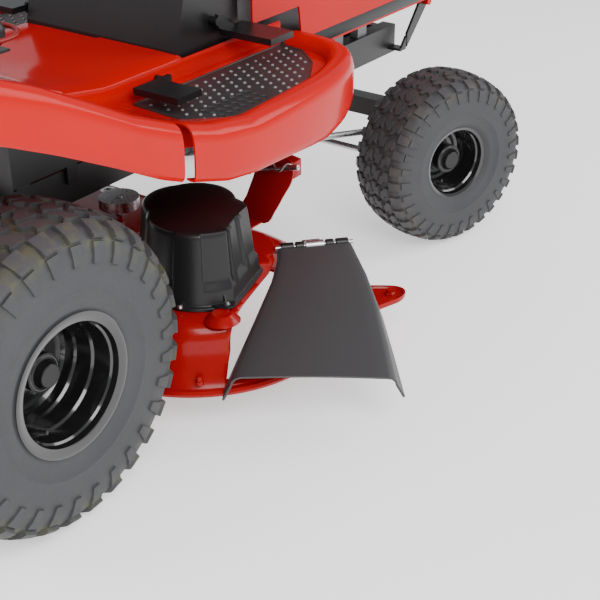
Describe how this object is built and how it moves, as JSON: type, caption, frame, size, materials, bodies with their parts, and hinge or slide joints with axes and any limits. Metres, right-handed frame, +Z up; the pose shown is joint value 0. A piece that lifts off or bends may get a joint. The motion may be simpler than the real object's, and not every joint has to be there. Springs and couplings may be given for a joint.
{
  "type": "riding lawn mower",
  "caption": "Lawn tractor with a tilting hood, steered front axle, foot pedals and a height-adjustable side-discharge mower deck.",
  "frame": {"origin": "on the ground under the middle of the whole machine", "axes": "+X forward, +Y to the operator's left, +Z up"},
  "size_m": [1.827, 1.2702, 1.0189],
  "materials": {
    "tyre": "matt rubber",
    "rim_black": "gloss black enamel",
    "cap_black": "satin",
    "red_paint": "gloss red enamel",
    "frame_black": "semi-gloss black",
    "steel": "zinc plated",
    "cast_metal": "cast",
    "black_plastic": "satin",
    "grey_plastic": "satin",
    "tank_plastic": "natural",
    "mat_rubber": "moulded",
    "vinyl": "vinyl",
    "lamp": "clear"
  },
  "bodies": {
    "chassis": {"frame_rails": "frame_black", "frame_crossmembers": "frame_black", "hitch_plate": "frame_black", "transaxle": "cast_metal", "engine_block": "cast_metal", "engine_shroud": "black_plastic", "muffler": "cast_metal", "rear_fender": "red_paint", "footrest_body": "red_paint", "footrest_mats": "mat_rubber", "fender_inserts": "black_plastic", "side_panels": "frame_black", "battery": "black_plastic", "dash_tower": "black_plastic", "fuel_tank": "tank_plastic"},
    "front_axle": {"front_axle_beam": "frame_black"},
    "knuckle_right": {"spindle_right": "frame_black"},
    "knuckle_left": {"spindle_left": "frame_black"},
    "tie_rod_body": {"tie_rod": "steel"},
    "drag_link_body": {"drag_link": "steel"},
    "sector": {"steering_sector": "frame_black"},
    "steering": {"steering_shaft": "steel", "steering_wheel": "black_plastic"},
    "engine_drive": {"engine_pulley": "steel"},
    "transaxle_drive": {"transaxle_pulley": "steel"},
    "hood_body": {"hood": "red_paint", "grille": "black_plastic", "headlights": "lamp"},
    "seat_body": {"seat_pan": "frame_black", "seat_cushion": "vinyl"},
    "brake": {"brake_pedal": "frame_black"},
    "forward_pedal_body": {"forward_pedal": "frame_black"},
    "reverse_pedal_body": {"reverse_pedal": "frame_black"},
    "deck": {"deck_shell": "red_paint", "spindle_housings": "cast_metal", "belt_cover_right": "black_plastic", "belt_cover_left": "black_plastic", "deck_hanger": "red_paint", "hanger_pin": "steel", "chute_hinge_rod": "steel"},
    "cutter_right": {"blade_right": "steel"},
    "cutter_left": {"blade_left": "steel"},
    "idler": {"idler_arm": "frame_black"},
    "chute": {"discharge_chute": "grey_plastic"},
    "lift": {"lift_lever": "frame_black"},
    "pto": {"pto_knob": "black_plastic"},
    "wheel_rear_right": {"rear_tyre_right": "tyre", "rear_rim_right": "rim_black", "rear_hub_cap_right": "cap_black", "rear_axle_shaft_right": "steel"},
    "wheel_front_right": {"front_tyre_right": "tyre", "front_rim_right": "rim_black", "front_hub_cap_right": "cap_black"},
    "wheel_rear_left": {"rear_tyre_left": "tyre", "rear_rim_left": "rim_black", "rear_hub_cap_left": "cap_black", "rear_axle_shaft_left": "steel"},
    "wheel_front_left": {"front_tyre_left": "tyre", "front_rim_left": "rim_black", "front_hub_cap_left": "cap_black"}
  },
  "joints": [
    {"name": "axle_rock", "type": "hinge", "parent": "chassis", "child": "front_axle", "pos_m": [0.68651, 0.11787, 0.255], "axis": [1, 0, 0], "range_deg": [-5, 5]},
    {"name": "steer_right", "type": "hinge", "parent": "front_axle", "child": "knuckle_right", "pos_m": [0.68651, -0.18213, 0], "axis": [0, 0, 1], "range_deg": [-14, 54]},
    {"name": "steer_left", "type": "hinge", "parent": "front_axle", "child": "knuckle_left", "pos_m": [0.68651, 0.41787, 0], "axis": [0, 0, 1], "range_deg": [-14, 54]},
    {"name": "tie_rod_pivot", "type": "hinge", "parent": "knuckle_right", "child": "tie_rod_body", "pos_m": [0.59254, -0.14793, 0], "axis": [0, 0, 1], "range_deg": [-54, 14]},
    {"name": "drag_link_pivot", "type": "hinge", "parent": "knuckle_right", "child": "drag_link_body", "pos_m": [0.62824, -0.16093, 0], "axis": [0, 0, 1], "range_deg": [-54, 14]},
    {"name": "sector_turn", "type": "hinge", "parent": "chassis", "child": "sector", "pos_m": [0.42651, -0.00013, 0.41], "axis": [0, 0, 1], "range_deg": [-14, 54]},
    {"name": "steering_turn", "type": "hinge", "parent": "chassis", "child": "steering", "pos_m": [0.03651, 0.11787, 0.9], "axis": [-0.5137, 0, 0.858], "range_deg": [-119.47, 459.38]},
    {"name": "rear_right_wheel_spin", "type": "hinge", "parent": "chassis", "child": "wheel_rear_right", "pos_m": [-0.58349, -0.27113, 0.254], "axis": [0, 1, 0], "continuous": true},
    {"name": "front_right_wheel_spin", "type": "hinge", "parent": "knuckle_right", "child": "wheel_front_right", "pos_m": [0.65401, -0.2714, 0.1905], "axis": [0.342, 0.9397, 0], "continuous": true},
    {"name": "rear_left_wheel_spin", "type": "hinge", "parent": "chassis", "child": "wheel_rear_left", "pos_m": [-0.58349, 0.50687, 0.254], "axis": [0, 1, 0], "continuous": true},
    {"name": "front_left_wheel_spin", "type": "hinge", "parent": "knuckle_left", "child": "wheel_front_left", "pos_m": [0.719, 0.50714, 0.1905], "axis": [0.342, 0.9397, 0], "continuous": true},
    {"name": "engine_turn", "type": "hinge", "parent": "chassis", "child": "engine_drive", "pos_m": [0.58651, 0.11787, 0.318], "axis": [0, 0, 1], "continuous": true},
    {"name": "transaxle_turn", "type": "hinge", "parent": "chassis", "child": "transaxle_drive", "pos_m": [-0.5235, 0.11787, 0.318], "axis": [0, 0, 1], "continuous": true},
    {"name": "hood_tilt", "type": "hinge", "parent": "chassis", "child": "hood_body", "pos_m": [0.8945, 0.11787, 0.452], "axis": [0, 1, 0], "range_deg": [0, 60]},
    {"name": "seat_flip", "type": "hinge", "parent": "chassis", "child": "seat_body", "pos_m": [-0.34549, 0.11787, 0.618], "axis": [0, 1, 0], "range_deg": [0, 70]},
    {"name": "brake_push", "type": "hinge", "parent": "chassis", "child": "brake", "pos_m": [0.1165, 0.11787, 0.585], "axis": [0, -1, 0], "range_deg": [0, 16], "stiffness_Nm_per_rad": 12, "springref_deg": -20.05},
    {"name": "forward_push", "type": "hinge", "parent": "chassis", "child": "forward_pedal_body", "pos_m": [0.1165, 0.11787, 0.585], "axis": [0, 1, 0], "range_deg": [0, 14], "stiffness_Nm_per_rad": 12, "springref_deg": -20.05},
    {"name": "reverse_push", "type": "hinge", "parent": "chassis", "child": "reverse_pedal_body", "pos_m": [-0.0555, 0.11787, 0.523], "axis": [0, -1, 0], "range_deg": [0, 7], "stiffness_Nm_per_rad": 12, "springref_deg": -20.05},
    {"name": "deck_lift", "type": "slide", "parent": "chassis", "child": "deck", "axis": [0, 0, 1], "range_m": [-0.03, 0.045]},
    {"name": "lift_lever_turn", "type": "hinge", "parent": "chassis", "child": "lift", "pos_m": [-0.4785, 0.11787, 0.47], "axis": [0, 1, 0], "range_deg": [-15.57, 10.41]},
    {"name": "blade_right_spin", "type": "hinge", "parent": "deck", "child": "cutter_right", "pos_m": [-0.09349, -0.19413, 0.2], "axis": [0, 0, 1], "continuous": true},
    {"name": "blade_left_spin", "type": "hinge", "parent": "deck", "child": "cutter_left", "pos_m": [-0.08349, 0.32287, 0.2], "axis": [0, 0, 1], "continuous": true},
    {"name": "idler_swing", "type": "hinge", "parent": "deck", "child": "idler", "pos_m": [0.0485, 0.15587, 0.2], "axis": [0, 0, 1], "range_deg": [0, 8], "stiffness_Nm_per_rad": 5, "springref_deg": -17.19},
    {"name": "chute_lift", "type": "hinge", "parent": "deck", "child": "chute", "pos_m": [0.0805, -0.33313, 0.211], "axis": [-0.7328, 0.6805, 0], "range_deg": [0, 50], "stiffness_Nm_per_rad": 1.5, "springref_deg": -22.92},
    {"name": "pto_pull", "type": "slide", "parent": "chassis", "child": "pto", "axis": [-0.8725, 0, 0.4886], "range_m": [0, 0.014]}
  ],
  "couplings": [
    {"joint": "steer_left", "follows": "steer_right", "ratio": 1},
    {"joint": "tie_rod_pivot", "follows": "steer_right", "ratio": -1},
    {"joint": "drag_link_pivot", "follows": "steer_right", "ratio": -1},
    {"joint": "sector_turn", "follows": "steer_right", "ratio": 1},
    {"joint": "steering_turn", "follows": "steer_right", "ratio": 8.4978},
    {"joint": "transaxle_turn", "follows": "engine_turn", "ratio": 0.8065},
    {"joint": "lift_lever_turn", "follows": "deck_lift", "rad_per_m": -6},
    {"joint": "blade_left_spin", "follows": "blade_right_spin", "ratio": 1}
  ]
}
